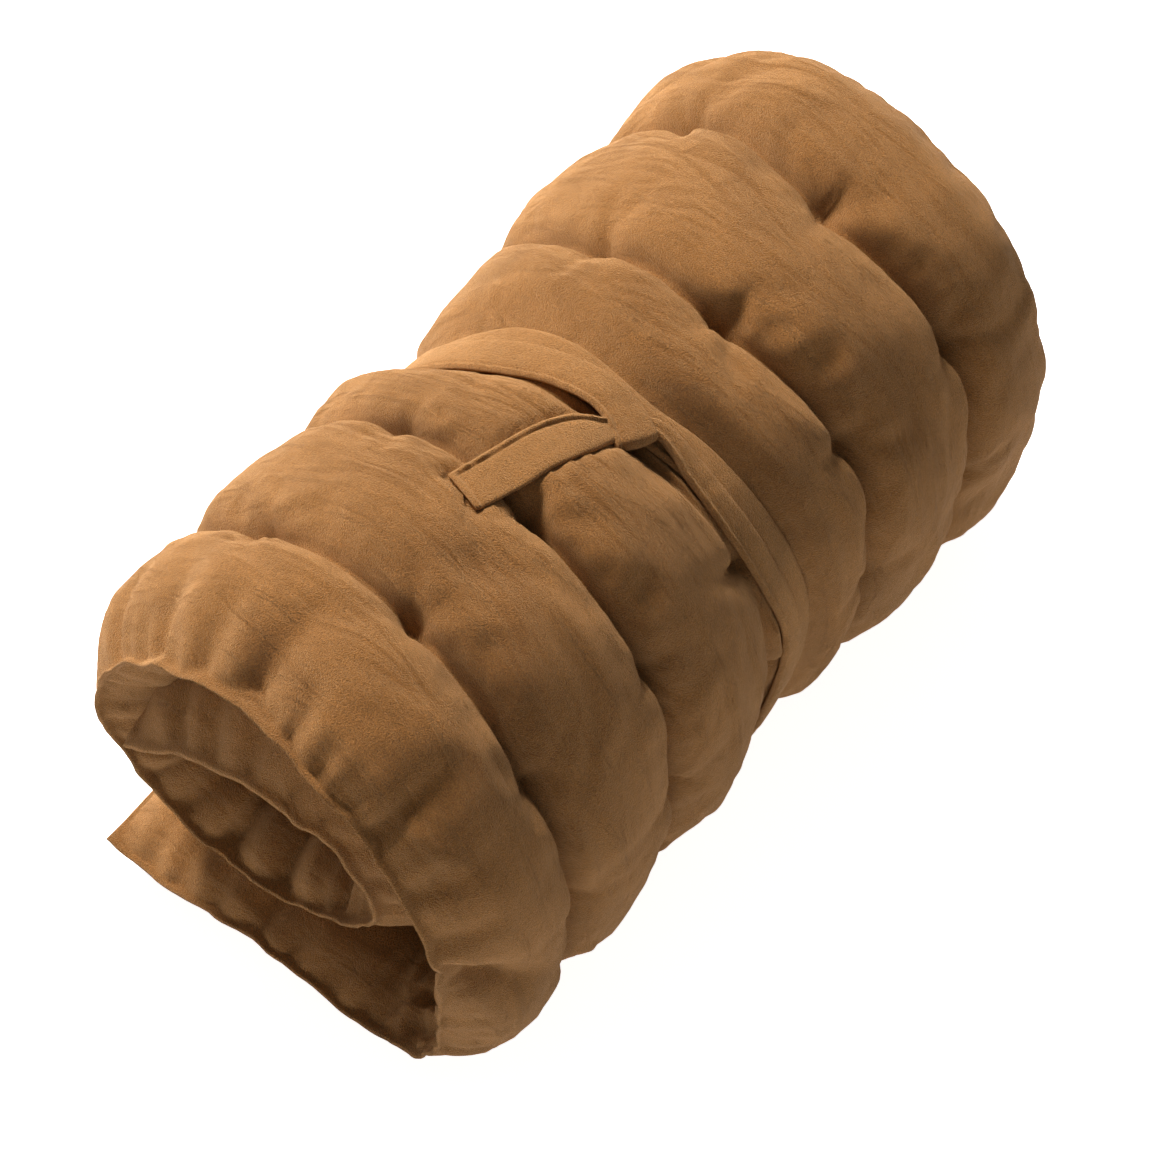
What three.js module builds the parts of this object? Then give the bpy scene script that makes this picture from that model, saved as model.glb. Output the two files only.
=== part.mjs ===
// A quilted floor mattress, rolled up in two turns and tied round its middle with a velvet band.
// Millimetres. +Z is up, the roll's length lies along Y, and the end that shows its spiral faces -Y.
import * as THREE from "three";

// Mattress: a square grid of tufts, PITCH apart, with a knife-edge seam all round.
const PITCH = 100;
const CELLS_WIDE = 6;
const HALF_WIDTH = (PITCH * CELLS_WIDE) / 2;
const SEAM_ROUND = 48; // how far in from a seam the pad reaches its full thickness
const SEAM_FULLNESS = 0.85; // how round the pad is there: 0.5 would be half a circle
const CROWN_FULLNESS = 2.4; // how broad the crowns are between the sewn rows
const FAR_STRETCH = 0.2; // how much longer the last row of cells is, at the far end
const GROOVE = { outer: 13, inner: 12 }; // depth of the sewn rows that run along the mattress
const TUFT = { outer: 6, inner: 7, reach: 22 }; // how much deeper a row is at a tuft
const POINT = { along: 24, out: 8 }; // how far the inner end's near corner is drawn out to a point
const PINCH = { outer: 5, inner: 9, width: 12, reach: 30 }; // the crosswise fold at each tuft

// The roll. START is where the loose end's seam lies, from the centre of the coil.
const START = { x: -159, z: -146 };
const FLOOR_Z = -168;

// One row for each cell along the mattress, from the loose end on the floor to the inner end.
// bend: how far the cell turns, degrees. outer, inner: half the pad's thickness on each face.
// slip: how far the cell has slid along the roll. pull: how far the band draws the middle row.
// seam: how far the seam at the near end lies off the pad's middle, towards its outer face.
const CELLS = [
  { bend: 12, outer: 27, inner: 25, slip: -8, pull: 0, seam: 0 },
  { bend: -38, outer: 27, inner: 25, slip: -4, pull: 0, seam: 0 },
  { bend: 105, outer: 27, inner: 24, slip: -2, pull: 0, seam: 0 },
  { bend: 4, outer: 27, inner: 24, slip: -8, pull: 4, seam: 0 },
  { bend: 48, outer: 28, inner: 24, slip: -10, pull: 1, seam: 0 },
  { bend: 34, outer: 29, inner: 24, slip: -4, pull: -6, seam: 2 },
  { bend: 48, outer: 32, inner: 24, slip: 3, pull: -15, seam: 7 },
  { bend: 33, outer: 33, inner: 24, slip: 4, pull: -18, seam: 8 },
  { bend: 60, outer: 32, inner: 26, slip: 4, pull: -11, seam: 3 },
  { bend: 59, outer: 28, inner: 31, slip: 9, pull: 0, seam: 0 },
  { bend: 34, outer: 26, inner: 33, slip: 13, pull: 0, seam: 0 },
  { bend: 89, outer: 25, inner: 32, slip: 12, pull: 0, seam: -8 },
  { bend: 68, outer: 24, inner: 31, slip: 6, pull: 0, seam: -20 },
  { bend: 23, outer: 21, inner: 27, slip: 6, pull: 0, seam: -18 },
];
const LENGTH = PITCH * CELLS.length;
const OUTER_TURN = 900; // the stretch, from the loose end, whose outer face the band goes round

// Where the mattress is sampled within a cell: at the tuft, either side of its fold, and between.
const ALONG = [0, 12, 37, 63, 88];
const ACROSS = [0, 9, 30, 70, 91];
const ACROSS_AT_TIE = [-30, -15, 0, 15, 33, 50, 70];

// Tie band: doubled velvet, wound twice and half-knotted.
const TIE = { thickness: 3, gap: 0.5 };
const WAIST = { at: 24, squeeze: 0.075, reach: 62 }; // how far the band draws the roll in
const SEAT = { at: 12, half: 31, thickness: 14, slope: 1.3 }; // the trough that it presses in the pad
// How far the band lies off the waist: next to it, over another turn, and in the knot.
const [LOW, HIGH, INSIDE, TOP] = [2, 5.6, 9.2, 12.8];

// The band's middle line, from the tip of its free end to its hidden end.
// turn: degrees round the roll, from the top towards +X. y: along the roll.
// lift: how far the band's middle stands off the waist. width: its width there.
const BAND = [
  { turn: 0.7, y: -114, lift: 21, width: 28 },
  { turn: 3.5, y: -86, lift: 22.5, width: 27 },
  { turn: 5.6, y: -60, lift: 23, width: 27 },
  { turn: 8, y: -40, lift: 20.5, width: 26 },
  { turn: 9.6, y: -28, lift: 17, width: 23 },
  { turn: 11, y: -18, lift: 12.5, width: 17 },
  { turn: 12.7, y: -8, lift: INSIDE, width: 13 },
  { turn: 15.3, y: 1.5, lift: INSIDE, width: 12 },
  { turn: 18.7, y: 6, lift: INSIDE, width: 12 },
  { turn: 24.3, y: 4, lift: 7, width: 13 },
  { turn: 31, y: 2.5, lift: HIGH, width: 15 },
  { turn: 46, y: 3, lift: HIGH, width: 20 },
  { turn: 65, y: 7, lift: HIGH, width: 22 },
  { turn: 85, y: 14, lift: HIGH, width: 24 },
  { turn: 105, y: 9, lift: HIGH, width: 25 },
  { turn: 128, y: 0, lift: HIGH, width: 24 },
  { turn: 150, y: -3, lift: LOW, width: 24 },
  { turn: 210, y: -5, lift: LOW, width: 24 },
  { turn: 228, y: -5, lift: 3, width: 24 },
  { turn: 240, y: -5, lift: 3, width: 24 },
  { turn: 300, y: -3, lift: LOW, width: 24 },
  { turn: 318, y: 0, lift: LOW, width: 25 },
  { turn: 334, y: 8, lift: LOW, width: 25 },
  { turn: 350, y: 9, lift: LOW, width: 25 },
  { turn: 372, y: 4, lift: LOW, width: 25 },
  { turn: 390, y: 11, lift: LOW, width: 25 },
  { turn: 405, y: 10, lift: LOW, width: 25 },
  { turn: 425, y: 13, lift: LOW, width: 25 },
  { turn: 447, y: 16, lift: LOW, width: 25 },
  { turn: 488, y: 21.5, lift: LOW, width: 25 },
  { turn: 570, y: 20.5, lift: LOW, width: 25 },
  { turn: 590, y: 20.5, lift: HIGH, width: 25 },
  { turn: 620, y: 6, lift: HIGH, width: 25 },
  { turn: 660, y: -16, lift: HIGH, width: 25 },
  { turn: 687, y: -17, lift: HIGH, width: 25 },
  { turn: 702, y: -9, lift: HIGH, width: 24 },
  { turn: 713, y: -5, lift: 8.5, width: 24 },
  { turn: 723, y: -5, lift: TOP, width: 25 },
  { turn: 731, y: -7, lift: TOP, width: 27 },
  { turn: 735.5, y: -10.5, lift: TOP, width: 27 },
];
const BAND_STEP = 15;
// The hidden end turns under the knot in a half circle and runs back this far.
const TUCK = { steps: 5, back: 20 };

const VELVET = { color: 0x8c6237, roughness: 0.95, metalness: 0 };

const radians = THREE.MathUtils.degToRad;
const bell = (distance, reach) => Math.exp(-((distance / reach) ** 2));

// A value from one column of CELLS at a distance along the mattress, blended between cell middles.
function along(column, distance) {
  const t = THREE.MathUtils.clamp(distance / PITCH - 0.5, 0, CELLS.length - 1);
  const i = Math.min(Math.floor(t), CELLS.length - 2);
  return THREE.MathUtils.lerp(CELLS[i][column], CELLS[i + 1][column], t - i);
}

// The pad's middle line in the roll's section: x, z and heading every STEP of its length.
const STEP = 2;
function middleLine() {
  const line = [{ ...START, heading: 0 }];
  for (let d = 0; d < LENGTH; d += STEP) {
    const last = line[line.length - 1];
    const bend = radians(along("bend", d + STEP / 2)) * (STEP / PITCH);
    const mid = last.heading + bend / 2;
    line.push({
      x: last.x + Math.cos(mid) * STEP,
      z: last.z + Math.sin(mid) * STEP,
      heading: last.heading + bend,
    });
  }
  return line;
}
const MIDDLE = middleLine();

function middleAt(distance) {
  const t = THREE.MathUtils.clamp(distance / STEP, 0, MIDDLE.length - 1.001);
  const i = Math.floor(t);
  const [a, b] = [MIDDLE[i], MIDDLE[i + 1]];
  return {
    x: THREE.MathUtils.lerp(a.x, b.x, t - i),
    z: THREE.MathUtils.lerp(a.z, b.z, t - i),
    heading: THREE.MathUtils.lerp(a.heading, b.heading, t - i),
  };
}

// Distance to the nearest line of the quilting grid.
const toGrid = (d) => Math.abs(d - PITCH * Math.round(d / PITCH));

// The pad's rounding near a seam: 0 at the seam, 1 where it is full.
function seamRound(distance) {
  const t = 1 - Math.min(1, distance / SEAM_ROUND);
  return (1 - t ** 2) ** SEAM_FULLNESS;
}

// Half the pad's thickness on one face, at a distance along it and a place across it.
function halfThickness(face, distance, across) {
  const toEnd = Math.min(distance, LENGTH - distance);
  const toSide = HALF_WIDTH - Math.abs(across);
  const toTuft = toGrid(THREE.MathUtils.clamp(distance, PITCH, LENGTH - PITCH));
  const tufted = toEnd > PITCH / 2 ? bell(toTuft, TUFT.reach) : 0;
  const row = toSide > PITCH / 2 ? toGrid(across) : PITCH / 2;
  const fill = 1 - (1 - row / (PITCH / 2)) ** CROWN_FULLNESS;
  const sewn = (GROOVE[face] + TUFT[face] * tufted) * (1 - fill);
  const nearRow = bell(Math.max(0, Math.min(toGrid(across), toSide)), PINCH.reach);
  const fold = toEnd > PITCH / 2 ? PINCH[face] * bell(toTuft, PINCH.width) * nearRow : 0;
  let half = along(face, distance) - sewn - fold * fill;
  if (face === "outer" && distance < OUTER_TURN) {
    const outside = Math.max(0, Math.abs(across - SEAT.at) - SEAT.half);
    half = Math.min(half, SEAT.thickness + SEAT.slope * outside);
  }
  return half * seamRound(toEnd) * seamRound(toSide) * squeeze(across);
}

function squeeze(across) {
  return 1 - WAIST.squeeze * bell(across - WAIST.at, WAIST.reach);
}

// How far a place belongs to the drawn-out corner: 1 at the corner, 0 a cell away from it.
function cornerPoint(distance, across) {
  const fromEnd = THREE.MathUtils.clamp(1 - (LENGTH - distance) / PITCH, 0, 1);
  const fromSeam = THREE.MathUtils.clamp(1 - (HALF_WIDTH + across) / PITCH, 0, 1);
  return fromEnd * fromSeam ** 2;
}

function padPoint(face, distance, across) {
  const { x, z, heading } = middleAt(distance);
  const toNearSeam = Math.min(1, (HALF_WIDTH + across) / SEAM_ROUND);
  const off = along("seam", distance) * (1 - toNearSeam) ** 2;
  const half = halfThickness(face, distance, across) * (face === "outer" ? 1 : -1) + off;
  const k = squeeze(across);
  const shift = along("slip", distance) + along("pull", distance) * bell(across, WAIST.reach);
  const stretch = FAR_STRETCH * Math.max(0, across - (HALF_WIDTH - PITCH));
  const point = cornerPoint(distance, across);
  return new THREE.Vector3(
    x * k + Math.sin(heading) * half + Math.cos(heading) * POINT.along * point,
    across + shift + stretch - POINT.out * point,
    Math.max(FLOOR_Z, z * k - Math.cos(heading) * half + Math.sin(heading) * POINT.along * point),
  );
}

function stations(count, offsets, last) {
  const list = [];
  for (let cell = 0; cell < count; cell += 1) {
    offsets.forEach((offset) => list.push(cell * PITCH + offset));
  }
  return [...list, last];
}

// Places across the pad, with closer ones where the band crosses it.
function acrossStations() {
  const plain = stations(CELLS_WIDE, ACROSS, HALF_WIDTH * 2).map((d) => d - HALF_WIDTH);
  const [low, high] = [ACROSS_AT_TIE[0], ACROSS_AT_TIE[ACROSS_AT_TIE.length - 1]];
  return [
    ...plain.filter((d) => d < low),
    ...ACROSS_AT_TIE,
    ...plain.filter((d) => d > high),
  ];
}

// Both faces share their points along the seams, so the pad is one closed surface.
function mattressGeometry() {
  const rows = stations(CELLS.length, ALONG, LENGTH);
  const columns = acrossStations();
  const [points, faces] = [[], []];
  const grids = {};
  for (const face of ["outer", "inner"]) {
    grids[face] = rows.map((d, i) =>
      columns.map((across, j) => {
        const onSeam = i % (rows.length - 1) === 0 || j % (columns.length - 1) === 0;
        if (face === "inner" && onSeam) return grids.outer[i][j];
        points.push(...padPoint(face, d, across).toArray());
        return points.length / 3 - 1;
      }),
    );
  }
  for (let i = 0; i < rows.length - 1; i += 1) {
    for (let j = 0; j < columns.length - 1; j += 1) {
      const ring = (g) => [g[i][j], g[i + 1][j], g[i + 1][j + 1], g[i][j + 1]];
      const [a, b, c, d] = ring(grids.outer);
      faces.push(a, c, b, a, d, c);
      const [e, f, g, h] = ring(grids.inner);
      faces.push(e, g, h, e, f, g);
    }
  }
  return closedGeometry(points, faces);
}

function closedGeometry(points, faces) {
  const geometry = new THREE.BufferGeometry();
  geometry.setAttribute("position", new THREE.Float32BufferAttribute(points, 3));
  geometry.setIndex(faces);
  geometry.computeVertexNormals();
  return geometry;
}

// How far the waist reaches in each direction, as a taut band would feel it.
const SUPPORT_STEP = { along: 4, turn: 4 };
const LEAST_FACING = 0.2; // a direction further round than this doesn't hold the band off
function waistSupport() {
  const outline = [];
  for (let d = 0; d <= OUTER_TURN; d += SUPPORT_STEP.along) {
    for (const off of [-SEAT.half, -SEAT.half / 2, 0, SEAT.half / 2, SEAT.half]) {
      outline.push(padPoint("outer", d, SEAT.at + off));
    }
  }
  const support = [];
  for (let a = 0; a < 360; a += SUPPORT_STEP.turn) {
    const [s, c] = [Math.sin(radians(a)), Math.cos(radians(a))];
    support.push(Math.max(...outline.map((p) => p.x * s + p.z * c)));
  }
  return support;
}
const SUPPORT = waistSupport();

// Distance from the coil's centre to a line that stands off the waist by lift.
function waistRadius(turn, lift) {
  const reaches = SUPPORT.map((support, i) => {
    const facing = Math.cos(radians(turn - i * SUPPORT_STEP.turn));
    return facing > LEAST_FACING ? (support + lift) / facing : Infinity;
  });
  return Math.min(...reaches);
}

// A smooth path through the rows: each column blended between rows i and i + 1.
function bandBetween(i, t) {
  const pick = (n) => BAND[THREE.MathUtils.clamp(n, 0, BAND.length - 1)];
  const [p, q] = [pick(i), pick(i + 1)];
  const span = q.turn - p.turn;
  const row = { turn: p.turn + span * t };
  for (const key of ["y", "lift", "width"]) {
    const slope = (n) => (pick(n + 1)[key] - pick(n - 1)[key]) / (pick(n + 1).turn - pick(n - 1).turn);
    const ease = t * t * (3 - 2 * t);
    const lean = (1 - t) * slope(i) - t * slope(i + 1);
    row[key] = p[key] + (q[key] - p[key]) * ease + span * t * (1 - t) * lean;
  }
  return row;
}

const outward = (turn) => new THREE.Vector3(Math.sin(radians(turn)), 0, Math.cos(radians(turn)));
const bandPlace = ({ turn, y, lift }) =>
  outward(turn).multiplyScalar(waistRadius(turn % 360, lift + TIE.gap)).setY(y);

// Stations along the band: where it is, which way its width and its thickness point.
function bandStations() {
  const rows = [];
  for (let i = 0; i < BAND.length - 1; i += 1) {
    const steps = Math.ceil(bandPlace(BAND[i]).distanceTo(bandPlace(BAND[i + 1])) / BAND_STEP);
    for (let k = 0; k < steps; k += 1) rows.push(bandBetween(i, k / steps));
  }
  rows.push(bandBetween(BAND.length - 2, 1));
  const places = rows.map(bandPlace);
  const list = rows.map((row, i) => {
    const next = places[Math.min(i + 1, places.length - 1)];
    const ahead = next.clone().sub(places[Math.max(i - 1, 0)]).normalize();
    const across = outward(row.turn).cross(ahead).normalize();
    return { at: places[i], across, ahead, up: ahead.clone().cross(across), width: row.width };
  });
  return [...list, ...tuckStations(list[list.length - 1])];
}

// The half circle under the knot, from the top layer to the one next above the waist's.
function tuckStations({ at, across, ahead, up, width }) {
  const radius = (TOP - HIGH) / 2;
  const list = [];
  for (let k = 1; k <= TUCK.steps; k += 1) {
    const a = (Math.PI * k) / TUCK.steps;
    const place = at.clone().addScaledVector(ahead, radius * Math.sin(a));
    place.addScaledVector(up, -radius * (1 - Math.cos(a)));
    const face = up.clone().multiplyScalar(Math.cos(a)).addScaledVector(ahead, Math.sin(a));
    list.push({ at: place, across, up: face, width });
  }
  const last = list[list.length - 1];
  list.push({ ...last, at: last.at.clone().addScaledVector(ahead, -TUCK.back) });
  return list;
}

function bandGeometry() {
  const list = bandStations();
  const corners = [[-1, -1], [1, -1], [1, 1], [-1, 1]];
  const points = list.flatMap(({ at, across, up, width }) =>
    corners.flatMap(([side, face]) =>
      at.clone()
        .addScaledVector(across, (side * width) / 2)
        .addScaledVector(up, (face * TIE.thickness) / 2)
        .toArray(),
    ),
  );
  const faces = [];
  for (let i = 0; i < list.length - 1; i += 1) {
    for (let k = 0; k < 4; k += 1) {
      const [a, b] = [4 * i + k, 4 * i + ((k + 1) % 4)];
      faces.push(a, b + 4, a + 4, a, b, b + 4);
    }
  }
  const end = 4 * (list.length - 1);
  faces.push(0, 2, 1, 0, 3, 2, end, end + 1, end + 2, end, end + 2, end + 3);
  return closedGeometry(points, faces);
}

function named(name, geometry) {
  const mesh = new THREE.Mesh(geometry, new THREE.MeshStandardMaterial(VELVET));
  mesh.name = name;
  return mesh;
}

// The roll stands on z = 0 with its middle over the origin.
const roll = new THREE.Group();
roll.add(named("mattress", mattressGeometry()), named("tie_band", bandGeometry()));
const box = new THREE.Box3().setFromObject(roll);
const middle = box.getCenter(new THREE.Vector3());
roll.position.set(-middle.x, -middle.y, -FLOOR_Z);

export default roll;
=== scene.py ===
"""A quilted velvet floor mattress, rolled up and tied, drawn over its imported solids.

The roll's own millimetres are used while it is shaped: the coil's centre line lies along Y,
and ORIGIN carries it into the part's frame. Blender gets metres.
"""

import bpy
import numpy as np
from mathutils import Matrix, Vector


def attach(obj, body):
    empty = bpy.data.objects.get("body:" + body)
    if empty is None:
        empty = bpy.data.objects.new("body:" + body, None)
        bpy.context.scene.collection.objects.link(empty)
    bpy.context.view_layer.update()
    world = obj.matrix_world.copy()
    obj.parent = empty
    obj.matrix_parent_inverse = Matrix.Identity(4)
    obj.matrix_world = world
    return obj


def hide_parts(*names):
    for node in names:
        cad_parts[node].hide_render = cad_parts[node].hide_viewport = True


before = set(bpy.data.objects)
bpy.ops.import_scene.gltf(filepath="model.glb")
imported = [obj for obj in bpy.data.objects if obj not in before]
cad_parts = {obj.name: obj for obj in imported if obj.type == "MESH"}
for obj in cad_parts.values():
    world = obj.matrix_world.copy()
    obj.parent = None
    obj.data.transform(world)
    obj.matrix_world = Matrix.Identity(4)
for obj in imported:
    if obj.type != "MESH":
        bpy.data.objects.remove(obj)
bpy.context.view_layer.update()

MM = 0.001
ORIGIN = np.array([4.2175, -11.565, 168.0])

# The mattress, as in the solid: a square grid of tufts and a knife-edge seam all round.
PITCH = 100
HALF_WIDTH = 300
SEAM_ROUND = 48
SEAM_FULLNESS = 0.85
CROWN_FULLNESS = 2.4
FAR_STRETCH = 0.2
GROOVE = {"outer": 13, "inner": 12}
TUFT = {"outer": 6, "inner": 7, "reach": 22}
PINCH = {"outer": 5, "inner": 9, "width": 12, "reach": 30}
POINT = {"along": 24, "out": 8}
START = (-159, -146)
FLOOR_Z = -168
BEND = [12, -38, 105, 4, 48, 34, 48, 33, 60, 59, 34, 89, 68, 23]
HALF = {
    "outer": [27, 27, 27, 27, 28, 29, 32, 33, 32, 28, 26, 25, 24, 21],
    "inner": [25, 25, 24, 24, 24, 24, 24, 24, 26, 31, 33, 32, 31, 27],
}
SLIP = [-8, -4, -2, -8, -10, -4, 3, 4, 4, 9, 13, 12, 6, 6]
PULL = [0, 0, 0, 4, 1, -6, -15, -18, -11, 0, 0, 0, 0, 0]
SEAM = [0, 0, 0, 0, 0, 2, 7, 8, 3, 0, 0, -8, -20, -18]
LENGTH = PITCH * len(BEND)
OUTER_TURN = 900
WAIST = {"at": 24, "squeeze": 0.075, "reach": 62}
SEAT = {"at": 12, "half": 31, "thickness": 14, "slope": 1.3}

# The tie band: turn (degrees from the top towards +X), y, lift off the waist, width. It is laid
# as the photo shows it, so its middle is up to 9 mm beside the solid's.
TIE = {"thickness": 3, "gap": 0.5}
LOW, HIGH, INSIDE, TOP = 2, 5.6, 9.2, 12.8
BAND = np.array([
    (-0.5, -114, 22, 32), (2.4, -86, 23, 32), (4.6, -60, 23.5, 31), (7, -40, 21, 29),
    (9, -28, 17.5, 25), (10.8, -18, 12.8, 19), (12.7, -8, INSIDE, 14), (15.3, 2.5, INSIDE, 12),
    (18.7, 7.5, INSIDE, 12), (24.3, 8, 7.5, 14), (31, 6.5, HIGH, 17), (46, 6, HIGH, 19),
    (65, 9, HIGH, 18), (85, 16, HIGH, 17), (105, 12, HIGH, 20), (128, 3, HIGH, 23),
    (150, -2, LOW, 24), (210, -5, LOW, 24), (228, -5, 3, 24), (240, -5, 3, 24),
    (300, -3, LOW, 24), (318, 2, LOW, 26), (334, 11, LOW, 27), (350, 12, LOW, 27),
    (372, 7.5, LOW, 26), (390, 14, LOW, 27), (405, 17, LOW, 28), (425, 21, LOW, 28),
    (447, 25, LOW, 28), (488, 25, LOW, 27), (570, 20.5, LOW, 25), (590, 20.5, HIGH, 25),
    (620, 8, HIGH, 26), (660, -11, HIGH, 28), (687, -9, HIGH, 29), (702, -3, HIGH, 28),
    (713, 0.6, 8.5, 26), (723, 1, TOP, 25), (729, -1, TOP, 26), (733, -5, TOP, 28),
    (736, -9.5, TOP, 29),
])


def bell(distance, reach):
    return np.exp(-((distance / reach) ** 2))


def ease(t):
    t = np.clip(t, 0, 1)
    return t * t * (3 - 2 * t)


# The same shape as the solid.
def along(column, d):
    return np.interp(d / PITCH - 0.5, np.arange(len(column)), column)


def middle_line(step=2.0):
    d = np.arange(0, LENGTH, step)
    bend = np.radians(along(BEND, d + step / 2)) * step / PITCH
    heading = np.concatenate([[0], np.cumsum(bend)])
    mid = heading[:-1] + bend / 2
    x = START[0] + np.concatenate([[0], np.cumsum(np.cos(mid) * step)])
    z = START[1] + np.concatenate([[0], np.cumsum(np.sin(mid) * step)])
    return np.concatenate([d, [LENGTH]]), x, z, heading


MIDDLE = middle_line()


def middle_at(d):
    return [np.interp(d, MIDDLE[0], column) for column in MIDDLE[1:]]


def to_grid(d):
    return np.abs(d - PITCH * np.round(d / PITCH))


def seam_round(distance, reach=SEAM_ROUND):
    t = 1 - np.minimum(1, distance / reach)
    return (1 - t**2) ** SEAM_FULLNESS


def squeeze(across):
    return 1 - WAIST["squeeze"] * bell(across - WAIST["at"], WAIST["reach"])


def solid_half(face, d, across):
    to_end = np.minimum(d, LENGTH - d)
    to_side = HALF_WIDTH - np.abs(across)
    to_tuft = to_grid(np.clip(d, PITCH, LENGTH - PITCH))
    inside = to_end > PITCH / 2
    tufted = np.where(inside, bell(to_tuft, TUFT["reach"]), 0)
    row = np.where(to_side > PITCH / 2, to_grid(across), PITCH / 2)
    fill = 1 - (1 - row / (PITCH / 2)) ** CROWN_FULLNESS
    sewn = (GROOVE[face] + TUFT[face] * tufted) * (1 - fill)
    near_row = bell(np.maximum(0, np.minimum(to_grid(across), to_side)), PINCH["reach"])
    fold = np.where(inside, PINCH[face] * bell(to_tuft, PINCH["width"]) * near_row, 0)
    half = along(HALF[face], d) - sewn - fold * fill
    if face == "outer":
        outside = np.maximum(0, np.abs(across - SEAT["at"]) - SEAT["half"])
        seat = np.minimum(half, SEAT["thickness"] + SEAT["slope"] * outside)
        half = np.where(d < OUTER_TURN, seat, half)
    return half * seam_round(to_end) * seam_round(to_side) * squeeze(across)


def placed(face, d, across, half, glide=0.0, drift=0.0):
    """Points of the pad whose face stands half away from its middle; glide and drift slide them."""
    x, z, heading = middle_at(d + glide)
    near = np.minimum(1, (HALF_WIDTH + across) / SEAM_ROUND)
    half = half * (1 if face == "outer" else -1) + along(SEAM, d) * (1 - near) ** 2
    k = squeeze(across)
    y = across + along(SLIP, d) + along(PULL, d) * bell(across, WAIST["reach"])
    y = y + FAR_STRETCH * np.maximum(0, across - (HALF_WIDTH - PITCH)) + drift
    point = (
        np.clip(1 - (LENGTH - d) / PITCH, 0, 1)
        * np.clip(1 - (HALF_WIDTH + across) / PITCH, 0, 1) ** 2
    )
    out = np.empty(np.broadcast(d, across).shape + (3,))
    out[..., 0] = x * k + np.sin(heading) * half + np.cos(heading) * POINT["along"] * point
    out[..., 1] = y - POINT["out"] * point
    out[..., 2] = z * k - np.cos(heading) * half + np.sin(heading) * POINT["along"] * point
    return out


def waist_support(step=4):
    d, off = np.meshgrid(np.arange(0, OUTER_TURN + 1, step), [-1, -0.5, 0, 0.5, 1])
    across = SEAT["at"] + off * SEAT["half"]
    points = placed("outer", d, across, solid_half("outer", d, across))
    points[..., 2] = np.maximum(FLOOR_Z, points[..., 2])
    turns = np.radians(np.arange(0, 360, step))
    reach = points[..., :1] * np.sin(turns) + points[..., 2:] * np.cos(turns)
    return turns, reach.reshape(-1, len(turns)).max(0)


SUPPORT = waist_support()


def waist_radius(turn, lift):
    """Distance from the coil's centre to a taut line that stands off the waist by lift."""
    facing = np.cos(np.radians(turn)[..., None] - SUPPORT[0])
    reach = np.where(facing > 0.2, (SUPPORT[1] + np.asarray(lift)[..., None]) / facing, 1e9)
    return reach.min(-1)


def band_path(step=3.0):
    """Rows of turn, y, lift and width along the band, blended between the rows of BAND."""
    slopes = np.empty((len(BAND), 3))
    for i in range(len(BAND)):
        p, q = BAND[max(i - 1, 0)], BAND[min(i + 1, len(BAND) - 1)]
        slopes[i] = (q[1:] - p[1:]) / (q[0] - p[0])
    ends = band_place(BAND[:, 0], BAND[:, 1], BAND[:, 2])
    rows = []
    for i in range(len(BAND) - 1):
        p, q, span = BAND[i], BAND[i + 1], BAND[i + 1, 0] - BAND[i, 0]
        count = int(np.ceil(np.linalg.norm(ends[i + 1] - ends[i]) / (1.0 if i < 1 else step)))
        for t in np.arange(count) / count:
            lean = (1 - t) * slopes[i] - t * slopes[i + 1]
            blend = p[1:] + (q[1:] - p[1:]) * ease(t) + span * t * (1 - t) * lean
            rows.append([p[0] + span * t, *blend])
    rows.append(BAND[-1])
    return np.array(rows)


def band_place(turn, y, lift):
    radius = waist_radius(turn % 360, lift + TIE["gap"])
    a = np.radians(turn)
    return np.stack([np.sin(a) * radius, y, np.cos(a) * radius], -1)


# Smooth seeded noise, from -1 to 1.
def noise(u, v, seed):
    i, j = np.floor(u).astype(np.int64), np.floor(v).astype(np.int64)
    s, t = u - i, v - j
    s, t = s**3 * (s * (6 * s - 15) + 10), t**3 * (t * (6 * t - 15) + 10)

    def corner(di, dj):
        n = ((i + di) * 374761393 + (j + dj) * 668265263 + seed * 974634777) & 0xFFFFFFFF
        n = ((n ^ (n >> 13)) * 1274126177) & 0xFFFFFFFF
        n = ((n ^ (n >> 16)) * 2246822519) & 0xFFFFFFFF
        return ((n >> 8) & 0xFFFF) / 32767.5 - 1

    near = corner(0, 0) * (1 - s) + corner(1, 0) * s
    far = corner(0, 1) * (1 - s) + corner(1, 1) * s
    return near * (1 - t) + far * t


# Where the photo's tufts lie: column of tufts, row of tufts, turn, y.
TUFTS = np.array([
    (7, 200, -34, 217), (6, 200, 13, 201), (5, 200, 52, 205),
    (7, 100, -24, 93), (6, 100, 14, 92), (5, 100, 52, 101),
    (7, 0, -24, -18), (6, 0, 15, -10), (5, 0, 55, -5),
    (7, -100, -26, -90), (6, -100, 15, -95), (5, -100, 54, -103),
    (7, -200, -35, -191), (6, -200, 14, -194), (5, -200, 52, -207),
], float)
SLIDE_REACH = 75


def slides():
    """How far each tuft slides along the mattress and along the roll, as smooth fields."""
    d, across = TUFTS[:, 0] * PITCH, TUFTS[:, 1]
    aimed = np.interp(180 - TUFTS[:, 2], np.degrees(MIDDLE[3]), MIDDLE[0])
    place = placed("outer", d, across, 0 * d)
    wanted = np.stack([aimed - d, TUFTS[:, 3] - place[:, 1]], 1)
    apart = np.hypot(d[:, None] - d, across[:, None] - across)
    return d, across, np.linalg.solve(bell(apart, SLIDE_REACH), wanted)


def slid(d, across):
    at_d, at_across, weights = SLIDES
    apart = np.hypot(d[..., None] - at_d, across[..., None] - at_across)
    return np.moveaxis(bell(apart, SLIDE_REACH) @ weights, -1, 0)


SLIDES = slides()


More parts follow.
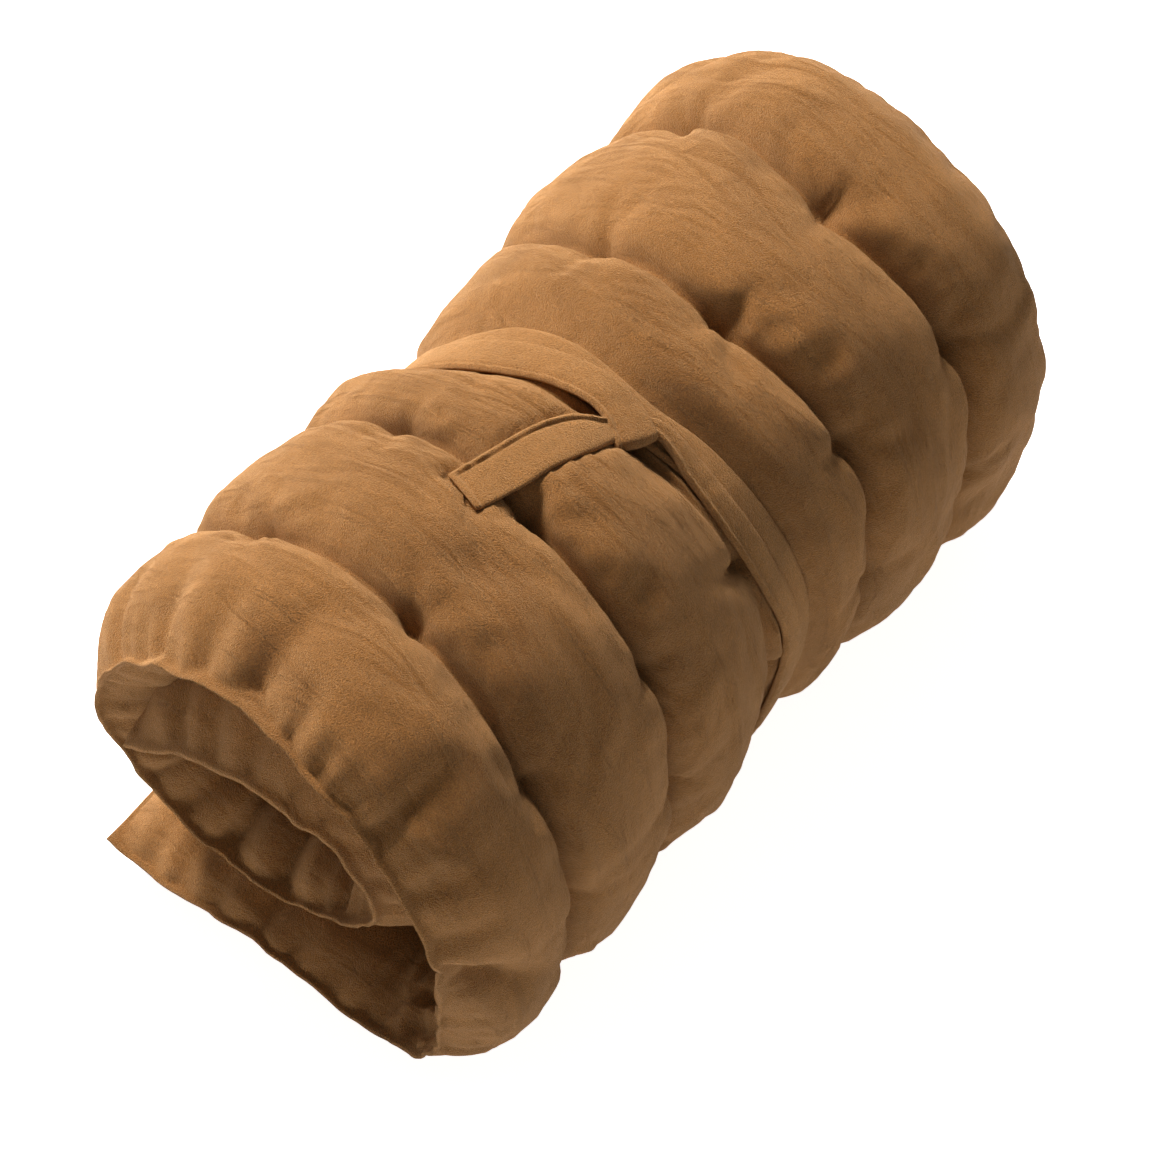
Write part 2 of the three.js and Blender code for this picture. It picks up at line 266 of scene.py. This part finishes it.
# The visual pad: deeper, sharper creases than the solid's, tuft folds, puckers and wrinkles.
CREASE = {"outer": {"round": 4.5, "cleft": 20}, "inner": {"round": 6, "cleft": 14}}
DIMPLE = {"outer": 6, "inner": 6, "reach": 11}
LIP = {"width": 3.8, "half": 1.5}
EDGE_RISE = 44
FAR_TUCK = 15
CLEFT_SHARPNESS = 11

# Along the tie the middle row's cleft is shallow, apart from the tuft beside the knot.
MIDDLE_ROW = {"shallower": 0.7, "width": 20, "tuft": 600, "tuft_reach": 45, "from": 300, "over": 50}
# The cover swells up beside the knot.
KNOT_SWELL = {"heading": 188, "across": -20, "rise": 10, "width": 13, "length": 50}
CORNER_MOVE = 2.5
# How the cover is pressed under the tie, and how steeply it may rise beside it.
PRESS = {"search": 45, "slice": 3.5, "below": 30, "lip": 2.2, "lip_reach": 2, "slope": 0.85}
# Where the cloth pass may move the cover, and how far around stitches it is held.
CLOTH_AREA = {"from": 120, "near_end": -205, "stitch": 5}

# Folds that the photo shows at the near seam: distance along, direction, depth, length, width.
NEAR_FOLDS = {
    "outer": [
        (800, 92, 5, 34, 4), (765, 88, 8, 46, 5), (746, 99, 4, 26, 3), (728, 84, 4.5, 26, 3.5),
        (713, 92, 9, 50, 5.5), (697, 80, 4, 32, 3), (673, 97, 9, 52, 6), (658, 82, 3.5, 24, 3),
        (638, 93, 20, 64, 11), (622, 104, 4, 40, 4), (603, 80, 3, 30, 4), (570, 95, 2.5, 26, 4),
        (537, 84, 8, 34, 4.5), (500, 95, 3, 26, 4), (462, 90, 3, 24, 4), (436, 132, 21, 74, 5.5),
        (1352, 80, 9, 60, 4), (1330, 90, 4, 40, 4.5), (1296, 84, 4, 28, 4), (1262, 96, 6, 34, 4),
        (1236, 88, 6, 34, 4), (1208, 92, 6, 30, 4), (1180, 90, 4, 30, 4),
    ],
    "inner": [
        (880, 88, 4, 70, 5), (906, 93, 6, 80, 5), (935, 90, 8, 95, 5), (971, 86, 15, 120, 6),
        (1021, 92, 15, 110, 6), (1054, 88, 5, 60, 4), (1074, 90, 13, 95, 5), (1091, 86, 7, 60, 3.5),
        (1106, 94, 8, 60, 3.5), (1121, 88, 8, 55, 3.5), (1136, 92, 8, 50, 3.5), (1152, 88, 7, 50, 4),
        (40, 90, 4, 55, 6), (66, 86, 5, 62, 5), (96, 94, 4, 50, 6), (131, 88, 7, 78, 6),
        (158, 92, 4, 44, 5), (190, 90, 5, 50, 5), (216, 84, 6, 62, 5), (234, 94, 5, 50, 4),
        (262, 90, 9, 80, 5), (285, 88, 8, 70, 4.5), (308, 92, 9, 70, 4.5), (332, 88, 7, 60, 5),
    ],
}


def stations(count, offsets, near, far, length):
    """Distances across the pad: a few close ones at each seam, and the same in each cell."""
    inner = [c * PITCH + o for c in range(count) for o in offsets(c)]
    inner = [v for v in inner if near[-1] + 2 < v < length - far[-1] - 2]
    return np.array(near + inner + [length - v for v in reversed(far)], float)


AT_SEAM = [0, 1.2, 2.4, 3.4, 4.6, 6.2, 8.2, 10.6, 13.4, 16.6, 20, 24, 28, 32, 36]
AT_END = [0, 1.5, 3.2, 4.6, 7, 10, 14, 19, 25]
BETWEEN_ROWS = [0, 1.6, 3.6, 6.4, 10, 14, 18.4, 23, 28, 33, 38.5, 44, 50,
                56, 61.5, 67, 72, 77, 81.6, 86, 90, 93.6, 96.4, 98.4]


def cell_steps(cell):
    return list(np.arange(0, 100, 4 if 2 <= cell <= 8 else 6.25))


def fold_rays(seed):
    """Short folds that run out from every tuft: place, direction, depth, length, width."""
    rng = np.random.default_rng(seed)
    rays = []
    for column in range(1, len(BEND)):
        for row in range(-2, 3):
            for side in (-1, 1):
                rays.append((column * PITCH, row * PITCH, side * 90 + rng.normal(0, 10),
                             rng.uniform(6, 8.5), rng.uniform(13, 22), rng.uniform(1.7, 2.5)))
                for _ in range(2):
                    lean = rng.choice([-1, 1]) * rng.uniform(25, 60)
                    rays.append((column * PITCH, row * PITCH, side * 90 + lean,
                                 rng.uniform(1.5, 3.5), rng.uniform(14, 34), rng.uniform(1.8, 2.8)))
    return rays


def carve(depth, d, across, rays):
    """Adds each ray's groove: sharp along its line, deepest a little way out, gone at its end."""
    for at_d, at_across, angle, deep, length, width in rays:
        c, s = np.cos(np.radians(angle)), np.sin(np.radians(angle))
        near = (np.abs(d - at_d) < 2.2 * length) & (np.abs(across - at_across) < 2.2 * length)
        if not near.any():
            continue
        u, v = d[near] - at_d, across[near] - at_across
        out, off = u * c + v * s, np.abs(-u * s + v * c)
        spread = width + 0.16 * np.maximum(out, 0)
        shape = np.exp(-((off / spread) ** 1.5)) * np.exp(-((out / length) ** 2))
        depth[near] += deep * shape * ease((out + 3) / 9)
    return depth


def pucker_rays(seed, face):
    """Folds gathered into the seams at both ends of the roll."""
    rng = np.random.default_rng(seed)
    rays = [(d, -HALF_WIDTH, *rest) for d, *rest in NEAR_FOLDS[face]]
    for edge, turn in ((-HALF_WIDTH, 90), (HALF_WIDTH, -90)):
        d = 14.0
        while d < LENGTH - 12:
            tight = abs(float(along(BEND, np.array(d)))) / 60
            rays.append((d, edge, turn + rng.normal(0, 12), rng.uniform(1.0, 2.8) * (0.7 + tight),
                         rng.uniform(16, 42), rng.uniform(2.6, 5)))
            d += rng.uniform(13, 30) / (0.7 + 0.5 * tight)
    return rays


def pad_half(face, d, across):
    """Half the visual pad's thickness on one face."""
    to_end = np.minimum(d, LENGTH - d)
    to_side = HALF_WIDTH - np.abs(across)
    half_cell = PITCH / 2
    to_tuft = to_grid(np.clip(d, PITCH, LENGTH - PITCH))
    inside = to_end > half_cell
    wander = 1.6 * noise(d / 37, across / 400, 5)
    wandered = np.abs((across + wander) - PITCH * np.round(across / PITCH))
    row = np.minimum(np.where(to_side > half_cell, wandered, half_cell), half_cell)
    away = (np.sqrt(row**2 + 0.8) / half_cell).clip(0, 1)
    tufted = np.where(inside, bell(to_tuft, 24), 0)
    half = along(HALF[face], d) + 1.5
    half = half + 2.4 * noise(d / 71, across / 57, 11) + 1.2 * noise(d / 33, across / 27, 12)
    cleft = CREASE[face]["cleft"] * (0.86 + 0.2 * tufted)
    if face == "outer":
        by_tuft = 1 - bell(d - MIDDLE_ROW["tuft"], MIDDLE_ROW["tuft_reach"])
        under_tie = ease((d - MIDDLE_ROW["from"]) / MIDDLE_ROW["over"])
        on_row = bell(across, MIDDLE_ROW["width"])
        cleft = cleft * (1 - MIDDLE_ROW["shallower"] * on_row * by_tuft * under_tie)
    half = half - CREASE[face]["round"] * (1 - away) ** 2.2 - cleft * (1 - away) ** CLEFT_SHARPNESS
    reach = np.hypot(to_tuft, to_grid(across))
    real = inside & (to_side > half_cell)
    half = half - np.where(real, DIMPLE[face] * bell(reach, DIMPLE["reach"]), 0)
    return half


def seam_profile(distance):
    """0 at the seam, then the thin sewn lip, then the pad's own rounding up to 1."""
    t = 1 - np.clip((distance - LIP["width"]) / EDGE_RISE, 0, 1)
    return (1 - t**2) ** 0.72


def gathers(face, d, across):
    """Depth of the folds gathered into the two side seams."""
    return carve(np.zeros(d.shape), d, across, pucker_rays(41 if face == "outer" else 43, face))


def pad_surface(face, d, across):
    half = pad_half(face, d, across)
    folds = carve(np.zeros_like(half), d, across, fold_rays(21 if face == "outer" else 22))
    bow = 2.2 * noise(d / 90, across / 40, 31)
    ring = noise(d / 75, across / 12 + bow, 32) + 0.5 * noise(d / 40, across / 6.5 + 1.4 * bow, 34)
    patch = 0.35 + 0.65 * (0.5 + 0.5 * noise(d / 70, across / 50, 35))
    half = half - folds + 2.3 * ring * patch
    to_side, to_end = HALF_WIDTH - np.abs(across), np.minimum(d, LENGTH - d)
    if face == "inner":
        squashed = np.clip(along(BEND, d) / 60, 0, 1.3)
        ripple = 2.6 * noise(d / 13, across / 70, 61) + 1.3 * noise(d / 7, across / 40, 62)
        half += squashed * ripple
    else:
        knot_d = np.interp(KNOT_SWELL["heading"], np.degrees(MIDDLE[3]), MIDDLE[0])
        beside = bell(across - KNOT_SWELL["across"], KNOT_SWELL["width"])
        half = half + KNOT_SWELL["rise"] * beside * bell(d - knot_d, KNOT_SWELL["length"])
    rounded = np.maximum(half, 4) * seam_profile(to_side) * seam_profile(to_end)
    rounded = rounded - gathers(face, d, across) * np.clip(to_side / 6, 0, 1) * seam_profile(to_end)
    if face == "inner":
        layered = ease((d - 238) / 30) * ease((405 - d) / 40)
        layered = layered * ease((58 - to_side) / 22) * (across < 0)
        waves = np.sin(to_side / 2.9 + 2.4 * noise(d / 55, 0 * d, 63))
        rounded += layered * (4.2 * waves - 2) * np.clip(to_side / 8, 0, 1)
    lip = LIP["half"] * np.minimum(1, np.minimum(to_side, to_end) / 1.2)
    return np.maximum(rounded, lip) * squeeze(across)


def under_band(points):
    """Presses the outer turn down under the tie, so that it only swells up beside it."""
    rows, places, ahead, side, up = band_frames()
    excess, direction = np.zeros(len(points)), np.zeros_like(points)
    for k in range(len(rows)):
        rel = points - places[k]
        near = np.where(np.abs(rel).max(1) < PRESS["search"])[0]
        rel = rel[near]
        close = np.abs(rel @ ahead[k]) < PRESS["slice"]
        near, rel = near[close], rel[close]
        beside = np.maximum(0, np.abs(rel @ side[k]) - rows[k, 3] / 2 - 1)
        height = rel @ up[k]
        lip = PRESS["lip"] * (1 - np.exp(-beside / PRESS["lip_reach"]))
        allowed = -TIE["thickness"] / 2 - 1 + lip + PRESS["slope"] * beside
        over = np.where(height > -PRESS["below"], height - allowed, 0)
        more = over > excess[near]
        excess[near[more]] = over[more]
        direction[near[more]] = up[k]
    return points - excess[:, None] * direction


def pad_points(face, d, across, half):
    glide, drift = slid(d, across)
    to_side = HALF_WIDTH - np.abs(across)
    hold = ease(to_side / 60)
    waved = bell(to_side, 14)
    gathered = 0.5 * (gathers("outer", d, across) + gathers("inner", d, across))
    drift = drift * hold + waved * (1.2 * noise(d / 15, 0 * d, 51) + 1.6 * noise(d / 34, 0 * d, 52))
    drift = drift - np.sign(across) * 0.55 * gathered * bell(to_side, 30)
    corner = CORNER_MOVE * bell(d + to_side, 40)
    drift = drift - np.sign(across) * corner
    points = placed(face, d, across, half, glide * hold * np.where(d < 950, 1, 0) + corner, drift)
    heading = middle_at(d)[2]
    off = waved * (1.4 * noise(d / 12, across / 300, 53) + 2.0 * noise(d / 27, across / 300, 54))
    near_far_seam = 1 - np.minimum(1, (HALF_WIDTH - across) / EDGE_RISE)
    off = off - FAR_TUCK * ease((1000 - d) / 100) * near_far_seam**2
    points[..., 0] += np.sin(heading) * off
    points[..., 2] -= np.cos(heading) * off
    t = (points[..., 2] - FLOOR_Z) / 4
    soft = FLOOR_Z + np.where(t > -1, (t + 1) ** 2, 0)
    points[..., 2] = np.where(t < 1, soft, points[..., 2])
    return points


def pad_mesh():
    rows = stations(len(BEND), cell_steps, AT_END, AT_END, LENGTH)
    columns = stations(6, lambda c: BETWEEN_ROWS, AT_SEAM, AT_SEAM, 2 * HALF_WIDTH) - HALF_WIDTH
    d, across = np.meshgrid(rows, columns, indexing="ij")
    n, m = d.shape
    faces, index, points = [], {}, []
    total = 0
    for face in ("outer", "inner"):
        half = pad_surface(face, d, across)
        grid = pad_points(face, d, across, half)
        ids = np.arange(n * m).reshape(n, m) + total
        if face == "inner":
            edge = np.zeros((n, m), bool)
            edge[0], edge[-1], edge[:, 0], edge[:, -1] = True, True, True, True
            free = ~edge
            ids = np.empty((n, m), np.int64)
            ids[edge] = index["outer"][edge]
            ids[free] = total + np.arange(free.sum())
            grid = grid[free]
        index[face] = ids
        points.append(grid.reshape(-1, 3))
        total += len(points[-1])
        a, b, c, e = ids[:-1, :-1], ids[1:, :-1], ids[1:, 1:], ids[:-1, 1:]
        order = (a, e, c, b) if face == "outer" else (a, b, c, e)
        faces.append(np.stack([k.ravel() for k in order], 1))
    uv = np.concatenate([np.stack([d, across], -1).reshape(-1, 2),
                         np.stack([d, across], -1)[1:-1, 1:-1].reshape(-1, 2)])
    return np.concatenate(points), np.concatenate(faces), uv, np.arange(total) < n * m


def held_places(uv, outer):
    """1 where the cloth is held still: tufts, rows, seams, the inner face and the inner turns.

    Close to the near seam every layer is free, the inner ones too.
    """
    d, across = uv[:, 0], uv[:, 1]
    to_side, to_end = HALF_WIDTH - np.abs(across), np.minimum(d, LENGTH - d)
    free = (outer & (d > CLOTH_AREA["from"]) & (d < OUTER_TURN)) | (across < CLOTH_AREA["near_end"])
    stitch = CLOTH_AREA["stitch"]
    free &= (to_side > stitch) & (to_end > stitch)
    tuft = np.hypot(to_grid(d), to_grid(across)) < stitch
    free &= ~(tuft & (to_side > PITCH / 2) & (to_end > PITCH / 2))
    on_row = (to_grid(across) < stitch) & (to_side > PITCH / 2)
    return np.where(free & ~on_row, 0.0, 1.0)


def rested(points, uv, outer):
    """The settled cover again clear of the tie and of the floor."""
    points[:, 2] = np.maximum(points[:, 2], FLOOR_Z)
    pressed = outer & (uv[:, 0] < OUTER_TURN + 60) & (np.abs(uv[:, 1]) < 160)
    points[pressed] = under_band(points[pressed])
    return points


# The tie band: one ribbon with rounded edges and a stitched ridge a little way in.
STITCH = {"in": 4.8, "deep": 1.3, "width": 1.1, "swell": 1.2}
TUCKED_BACK = 20


def band_frames():
    rows = band_path()
    places = band_place(rows[:, 0], rows[:, 1], rows[:, 2])
    ahead = np.empty_like(places)
    ahead[1:-1] = places[2:] - places[:-2]
    ahead[0], ahead[-1] = places[1] - places[0], places[-1] - places[-2]
    ahead /= np.linalg.norm(ahead, axis=1, keepdims=True)
    turn = np.radians(rows[:, 0])
    outward = np.stack([np.sin(turn), 0 * turn, np.cos(turn)], -1)
    side = np.cross(outward, ahead)
    side /= np.linalg.norm(side, axis=1, keepdims=True)
    return rows, places, ahead, side, np.cross(ahead, side)


def ribbon(places, side, up, width, stitched):
    """A closed strip with round edges; stitched is +1 or -1, the side of its stitched edge."""
    across = np.array([-1, -0.985, -0.94, -0.88, -0.82, -0.76, -0.7, -0.64, -0.58, -0.5, -0.25, 0,
                       0.25, 0.5, 0.58, 0.64, 0.7, 0.76, 0.82, 0.88, 0.94, 0.985, 1])
    height = (TIE["thickness"] / 2 + 0.3) * (1 - np.abs(across) ** 8) ** 0.5
    length = np.concatenate([[0], np.cumsum(np.linalg.norm(np.diff(places, axis=0), axis=1))])
    loops = []
    for k in range(len(places)):
        at = length[k] + 0 * across
        from_edge = np.minimum((1 - across * stitched[k]) * width[k] / 2, length[k])
        groove = STITCH["deep"] * bell(from_edge - STITCH["in"], STITCH["width"])
        ripple = 1 + 0.5 * noise(at / 4, across, 71)
        swell = STITCH["swell"] * bell(from_edge - STITCH["in"] / 2, 1.6) * ripple
        wrinkle = 0.35 * noise(at / 23, across * 1.6, 72) + 0.2 * noise(at / 8, across * 2.5, 73)
        uneven = 1 + 0.02 * noise(at / 17, 0 * at, 74) + 0.01 * noise(at / 6, 0 * at, 75)
        reach = width[k] / 2 * uneven
        reach = reach * (1 - 0.05 * bell(length[k], 1.5))
        top = height - groove + swell + wrinkle
        bottom = -height
        xs = np.concatenate([across * reach, (across * reach)[-2:0:-1]])
        zs = np.concatenate([top, bottom[-2:0:-1]])
        zs = zs - 0.9 * (xs / (width[k] / 2)) ** 2 + 0.3
        loops.append(places[k] + xs[:, None] * side[k] + zs[:, None] * up[k])
    points = np.array(loops)
    n, m = points.shape[:2]
    ids = np.arange(n * m).reshape(n, m)
    nxt = np.roll(ids, -1, axis=1)
    quads = np.stack([ids[:-1], ids[1:], nxt[1:], nxt[:-1]], -1).reshape(-1, 4).tolist()
    caps = [ids[0].tolist(), ids[-1][::-1].tolist()]
    return points.reshape(-1, 3), quads + caps


def tie_mesh():
    rows, places, ahead, side, up = band_frames()
    stitched = np.where(rows[:, 0] < 13, 1.0, -1.0)
    radius = (TOP - HIGH) / 2
    angle = np.linspace(0, np.pi, 13)[1:]
    last, front, rise = places[-1], ahead[-1], up[-1]
    turn = [last + front * radius * np.sin(a) - rise * radius * (1 - np.cos(a)) for a in angle]
    run = [turn[-1] - front * k for k in np.linspace(0, TUCKED_BACK, 8)[1:]]
    extra = np.array(turn + run)
    ups = [rise * np.cos(a) + front * np.sin(a) for a in angle] + [-rise] * len(run)
    places = np.concatenate([places, extra])
    side = np.concatenate([side, np.repeat(side[-1:], len(extra), 0)])
    up = np.concatenate([up, ups])
    width = np.concatenate([rows[:, 3], np.full(len(extra), rows[-1, 3])])
    stitched = np.concatenate([stitched, np.full(len(extra), -1.0)])
    return ribbon(places, side, up, width, stitched)


def mesh_object(name, points, faces, uv=None):
    mesh = bpy.data.meshes.new(name)
    mesh.from_pydata(((points + ORIGIN) * MM).tolist(), [], faces)
    mesh.update()
    if uv is not None:
        layer = mesh.uv_layers.new(name="cloth")
        corner = np.empty(len(mesh.loops), np.int32)
        mesh.loops.foreach_get("vertex_index", corner)
        layer.data.foreach_set("uv", (uv[corner] * MM).astype(np.float32).ravel())
    mesh.polygons.foreach_set("use_smooth", [True] * len(mesh.polygons))
    thing = bpy.data.objects.new(name, mesh)
    bpy.context.scene.collection.objects.link(thing)
    return thing


def velvet(name, base, lit, dark, wrinkled):
    """Short pile: fine grain, soft patches where it has been brushed, sheen at grazing angles."""
    material = bpy.data.materials.new(name)
    material.use_nodes = True
    nodes, links = material.node_tree.nodes, material.node_tree.links
    shader = nodes["Principled BSDF"]
    shader.inputs["Roughness"].default_value = 0.9
    shader.inputs["Specular IOR Level"].default_value = 0.15
    shader.inputs["Sheen Weight"].default_value = 0.6
    shader.inputs["Sheen Roughness"].default_value = 0.42
    shader.inputs["Sheen Tint"].default_value = (*lit, 1)
    place = nodes.new("ShaderNodeTexCoord")

    def grain(scale, detail, rough, warp=0.0, space="Object", stretch=(1, 1, 1)):
        mapping = nodes.new("ShaderNodeMapping")
        mapping.inputs["Scale"].default_value = stretch
        links.new(place.outputs[space], mapping.inputs["Vector"])
        texture = nodes.new("ShaderNodeTexNoise")
        texture.inputs["Scale"].default_value = scale
        texture.inputs["Detail"].default_value = detail
        texture.inputs["Roughness"].default_value = rough
        texture.inputs["Distortion"].default_value = warp
        links.new(mapping.outputs["Vector"], texture.inputs["Vector"])
        return texture.outputs["Fac"]

    def ramp(value, stops):
        node = nodes.new("ShaderNodeValToRGB")
        while len(node.color_ramp.elements) < len(stops):
            node.color_ramp.elements.new(0.5)
        for element, (at, colour) in zip(node.color_ramp.elements, stops):
            element.position = at
            element.color = (*colour, 1)
        links.new(value, node.inputs["Fac"])
        return node.outputs["Color"]

    def bump(height, strength, distance, below=None):
        node = nodes.new("ShaderNodeBump")
        node.inputs["Strength"].default_value = strength
        node.inputs["Distance"].default_value = distance
        links.new(height, node.inputs["Height"])
        if below is not None:
            links.new(below, node.inputs["Normal"])
        return node.outputs["Normal"]

    bright = [c * 1.15 for c in base]
    patches = ramp(grain(14, 4, 0.55, warp=0.6), [(0.3, dark), (0.52, base), (0.75, bright)])
    shades = [(0.3, (0.5, 0.49, 0.48)), (0.5, (1, 1, 1)), (0.7, (1.55, 1.52, 1.48))]
    pile = ramp(grain(1300, 2, 0.6), shades)
    mix = nodes.new("ShaderNodeMix")
    mix.data_type, mix.blend_type = "RGBA", "MULTIPLY"
    mix.inputs["Factor"].default_value = 1
    links.new(patches, mix.inputs["A"])
    links.new(pile, mix.inputs["B"])
    links.new(mix.outputs["Result"], shader.inputs["Base Color"])
    normal = None
    if wrinkled:
        wrinkles = grain(1, 1, 0.45, warp=1.6, space="UV", stretch=(17, 58, 1))
        normal = bump(wrinkles, 0.6, 0.011, normal)
    normal = bump(grain(80, 4, 0.65, warp=0.5), 0.6, 0.004, normal)
    normal = bump(grain(1300, 2, 0.6), 1.0, 0.003, normal)
    links.new(normal, shader.inputs["Normal"])
    return material


VELVET = velvet("velvet", (0.287, 0.121, 0.031), (1.0, 0.63, 0.31), (0.228, 0.093, 0.023), True)
BAND_VELVET = velvet(
    "velvet_band", (0.325, 0.142, 0.039), (1.0, 0.65, 0.33), (0.262, 0.112, 0.03), False)


def settle(thing, held, frames=12, most=0.0055):
    """Blender's cloth: the cover pulls and puckers over its filling, and moves most metres."""
    group = thing.vertex_groups.new(name="held")
    for level in np.unique(held):
        group.add(np.where(held == level)[0].tolist(), float(level), "REPLACE")
    modifier = thing.modifiers.new("cloth", "CLOTH")
    cloth = modifier.settings
    cloth.quality = 4
    cloth.mass = 0.15
    cloth.air_damping = 2
    cloth.tension_stiffness = cloth.compression_stiffness = 12
    cloth.shear_stiffness = 4
    cloth.bending_stiffness = 0.3
    cloth.use_pressure = True
    cloth.uniform_pressure_force = 1.0
    cloth.vertex_group_mass = group.name
    cloth.shrink_min = -0.032
    cloth.effector_weights.gravity = 0
    modifier.collision_settings.use_collision = False
    modifier.point_cache.frame_end = frames
    for step in range(1, frames + 1):
        bpy.context.scene.frame_set(step)
    shaped = thing.evaluated_get(bpy.context.evaluated_depsgraph_get()).data
    after = np.empty(len(shaped.vertices) * 3, np.float32)
    before = np.empty_like(after)
    shaped.vertices.foreach_get("co", after)
    thing.data.vertices.foreach_get("co", before)
    thing.modifiers.remove(modifier)
    thing.vertex_groups.remove(group)
    bpy.context.scene.frame_set(1)
    moved = (after - before).reshape(-1, 3)
    a, b = np.array([edge.vertices[:] for edge in thing.data.edges]).T
    count = np.bincount(np.concatenate([a, b]), minlength=len(moved))[:, None] + 1.0
    total = moved.copy()
    np.add.at(total, a, moved[b])
    np.add.at(total, b, moved[a])
    moved = total / count
    size = np.linalg.norm(moved, axis=1, keepdims=True)
    return before.reshape(-1, 3) + moved * most * np.tanh(size / most) / np.maximum(size, 1e-9)


points, faces, uv, outer = pad_mesh()
mattress = mesh_object("mattress_cover", points, faces.tolist(), uv)
points = settle(mattress, held_places(uv, outer)) / MM - ORIGIN
points = (rested(points, uv, outer) + ORIGIN) * MM
mattress.data.vertices.foreach_set("co", points.astype(np.float32).ravel())
mattress.data.update()
mattress.data.materials.append(VELVET)
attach(mattress, "root")
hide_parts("mattress")

points, faces = tie_mesh()
tie = mesh_object("tie_ribbon", points, faces)
tie.data.materials.append(BAND_VELVET)
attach(tie, "root")
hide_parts("tie_band")

# The camera, found from the roll's outline in the photo.
scene = bpy.context.scene
camera = bpy.data.objects.new("camera", bpy.data.cameras.new("camera"))
scene.collection.objects.link(camera)
camera.data.lens, camera.data.sensor_width = 99.25, 36
azimuth, elevation = np.radians(38.89), np.radians(56.0)
level = np.cos(elevation)
back = Vector((level * np.sin(azimuth), -level * np.cos(azimuth), np.sin(elevation)))
right = Vector((np.cos(azimuth), np.sin(azimuth), 0))
up = back.cross(right)
at = Vector((np.array([721.1, -904.6, 1670.1]) + ORIGIN) * MM)
camera.matrix_world = Matrix((
    (right.x, up.x, back.x, at.x),
    (right.y, up.y, back.y, at.y),
    (right.z, up.z, back.z, at.z),
    (0, 0, 0, 1),
))
scene.camera = camera


def area_light(name, offset, size, power, colour=(1, 1, 1)):
    lamp = bpy.data.lights.new(name, "AREA")
    lamp.shape, lamp.size, lamp.energy, lamp.color = "DISK", size, power, colour
    thing = bpy.data.objects.new(name, lamp)
    scene.collection.objects.link(thing)
    thing.location = offset
    aim = -Vector(offset) + Vector((0, 0, 0.15))
    thing.rotation_euler = aim.to_track_quat("-Z", "Y").to_euler()


area_light("key", (-2.0, 0.6, 2.35), 0.9, 250, (1.0, 0.955, 0.9))
area_light("fill", (1.4, -2.4, 1.4), 2.0, 5, (1.0, 0.98, 0.95))
world = bpy.data.worlds.new("studio")
scene.world = world
world.use_nodes = True
world.node_tree.nodes["Background"].inputs["Color"].default_value = (1, 1, 1, 1)
world.node_tree.nodes["Background"].inputs["Strength"].default_value = 0.2

floor_mesh = bpy.data.meshes.new("floor")
FLOOR_REACH = 14
corners = [(x * FLOOR_REACH, y * FLOOR_REACH, 0) for x, y in ((-1, -1), (1, -1), (1, 1), (-1, 1))]
floor_mesh.from_pydata(corners, [], [(0, 1, 2, 3)])
floor = bpy.data.objects.new("floor", floor_mesh)
scene.collection.objects.link(floor)
paper = bpy.data.materials.new("floor")
paper.use_nodes = True
for socket, value in (
    ("Base Color", (0.9, 0.9, 0.9, 1)),
    ("Roughness", 0.9),
    ("Specular IOR Level", 0.1),
    ("Emission Color", (1, 1, 1, 1)),
    ("Emission Strength", 0.86),
):
    paper.node_tree.nodes["Principled BSDF"].inputs[socket].default_value = value
floor_mesh.materials.append(paper)

scene.view_settings.view_transform = "Standard"
scene.view_settings.look = "None"
scene.view_settings.exposure = 0.0

wound = np.linalg.norm(np.diff(band_frames()[1], axis=0), axis=1).sum()

bpy.context.view_layer.update()
